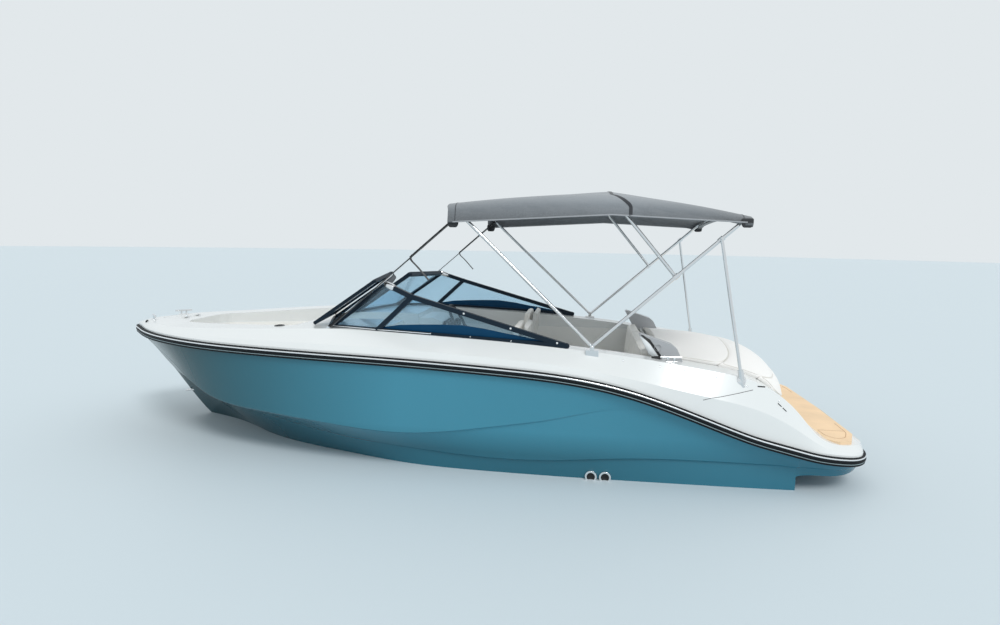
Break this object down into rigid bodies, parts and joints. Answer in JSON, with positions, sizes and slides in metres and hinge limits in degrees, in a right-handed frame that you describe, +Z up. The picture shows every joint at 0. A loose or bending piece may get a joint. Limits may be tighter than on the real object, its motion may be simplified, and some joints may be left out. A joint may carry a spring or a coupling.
{
  "type": "open bowrider speedboat with a sterndrive and a folding sun top",
  "caption": "Afloat bowrider speedboat: deep-V hull with two knuckle lines, open bow and cockpit, raked windshield with its walkthrough door open, sun top, sunpad hatch and steerable sterndrive.",
  "frame": {"origin": "on the centreline at the waterline, midway between the bow tip and the platform's aft edge", "axes": "X forward to the bow, Y to port, Z up"},
  "size_m": [6.297, 2.4814, 2.904],
  "materials": {
    "hull_paint": "gelcoat",
    "deck_gelcoat": "gelcoat",
    "liner": "satin",
    "black_trim": "matte",
    "rail_insert": "polished",
    "deck_pad": "foam",
    "steel": "polished",
    "engine_paint": "painted",
    "drive_paint": "gloss",
    "frame_paint": "powder coat",
    "panel_paint": "powder coat",
    "glass": "clear",
    "canvas": "woven",
    "webbing": "woven",
    "vinyl": "vinyl",
    "grey_vinyl": "vinyl",
    "dash_plastic": "satin"
  },
  "bodies": {
    "boat": {"hull": "hull_paint", "platform_moulding": "hull_paint", "deck": "deck_gelcoat", "cockpit_liner": "liner", "rub_rail": "black_trim", "rub_rail_insert": "rail_insert", "platform_pad": "deck_pad", "engine_block": "engine_paint", "transom_housing": "drive_paint", "windshield_frame": "frame_paint", "windshield_glass": "glass", "bimini_main_bow": "steel", "bimini_poles": "steel", "bimini_hinges": "steel", "bimini_canopy": "canvas", "strap_eyes": "steel", "bench_base": "liner", "bench_cushion": "vinyl", "bench_backrest": "grey_vinyl", "bow_seat_base": "liner", "bow_seat_cushions": "vinyl", "bow_backrests": "vinyl", "helm_pedestal": "steel", "port_pedestal": "steel", "dash_pods": "liner", "dash_panel": "dash_plastic", "steering_column": "dash_plastic", "throttle_control": "dash_plastic", "cleats": "steel", "bow_eye": "steel", "exhaust_outlets": "steel", "bimini_jaws": "steel", "locker_hinges": "steel", "hatch_hinges": "steel", "cup_holder": "steel", "windshield_side_panels": "panel_paint", "pole_sockets": "steel", "corner_panels": "grey_vinyl"},
    "locker_lid": {"locker_lid": "deck_gelcoat"},
    "hatch": {"engine_hatch": "deck_gelcoat", "sunpad": "vinyl"},
    "drive_swivel": {"gimbal_ring": "drive_paint"},
    "drive": {"drive_upper": "drive_paint", "drive_leg": "drive_paint"},
    "propeller": {"propeller": "steel"},
    "trim_barrels": {"trim_cylinders": "drive_paint"},
    "trim_sticks": {"trim_rods": "steel"},
    "windshield_door": {"windshield_door_frame": "frame_paint", "windshield_door_glass": "glass"},
    "bimini_front": {"bimini_front_bow": "steel", "bimini_straps": "webbing"},
    "bimini_mid": {"bimini_mid_bow": "steel"},
    "helm_seat": {"helm_seat_shell": "dash_plastic", "helm_seat_cushion": "vinyl"},
    "port_seat": {"port_seat_shell": "dash_plastic", "port_seat_cushion": "vinyl"},
    "wheel": {"steering_wheel": "dash_plastic"}
  },
  "joints": [
    {"name": "drive_steer", "type": "hinge", "parent": "boat", "child": "drive_swivel", "pos_m": [-2.725, 0, -0.05], "axis": [0, 0, 1], "range_deg": [-28, 28]},
    {"name": "drive_trim", "type": "hinge", "parent": "drive_swivel", "child": "drive", "pos_m": [-2.735, 0, -0.05], "axis": [0, 1, 0], "range_deg": [-4, 40]},
    {"name": "prop_spin", "type": "hinge", "parent": "drive", "child": "propeller", "pos_m": [-3.012, 0, -0.575], "axis": [1, 0, 0], "continuous": true},
    {"name": "ram_swing", "type": "hinge", "parent": "drive_swivel", "child": "trim_barrels", "pos_m": [-2.73, 0, -0.166], "axis": [0, 1, 0], "range_deg": [-3.77, 37.73]},
    {"name": "ram_stroke", "type": "slide", "parent": "trim_barrels", "child": "trim_sticks", "axis": [-0.9796, 0, -0.2011], "range_m": [-0.00791, 0.07914]},
    {"name": "wheel_turn", "type": "hinge", "parent": "boat", "child": "wheel", "pos_m": [0.095, -0.52, 0.89], "axis": [-0.8829, 0, 0.4695], "range_deg": [-420, 420]},
    {"name": "hatch_lift", "type": "hinge", "parent": "boat", "child": "hatch", "pos_m": [-2.618, 0, 0.508], "axis": [0, -1, 0], "range_deg": [0, 42]},
    {"name": "locker_lid_swing", "type": "hinge", "parent": "boat", "child": "locker_lid", "pos_m": [2.562, 0, 0.927], "axis": [0, -1, 0], "range_deg": [0, 95]},
    {"name": "windshield_door_swing", "type": "hinge", "parent": "boat", "child": "windshield_door", "pos_m": [1.06404, 0.25, 1.01944], "axis": [0.82, 0, -0.5724], "range_deg": [0, 185]},
    {"name": "bimini_fold", "type": "hinge", "parent": "boat", "child": "bimini_front", "pos_m": [-1.18, 0, 0.95], "axis": [0, -1, 0], "range_deg": [0, 78], "deforming": ["bimini_canopy", "bimini_straps"]},
    {"name": "bimini_mid_fold", "type": "hinge", "parent": "boat", "child": "bimini_mid", "pos_m": [-1.743, 0, 1.45544], "axis": [0, -1, 0], "range_deg": [0, 72.15]},
    {"name": "helm_seat_swivel", "type": "hinge", "parent": "boat", "child": "helm_seat", "pos_m": [-0.43, -0.47, 0.46], "axis": [0, 0, 1], "continuous": true},
    {"name": "port_seat_swivel", "type": "hinge", "parent": "boat", "child": "port_seat", "pos_m": [-0.43, 0.47, 0.46], "axis": [0, 0, 1], "continuous": true}
  ],
  "couplings": [
    {"joint": "wheel_turn", "follows": "drive_steer", "ratio": 15},
    {"joint": "ram_swing", "follows": "drive_trim", "ratio": 0.9433},
    {"joint": "ram_stroke", "follows": "drive_trim", "m_per_rad": 0.11336},
    {"joint": "bimini_mid_fold", "follows": "bimini_fold", "ratio": 0.925}
  ]
}
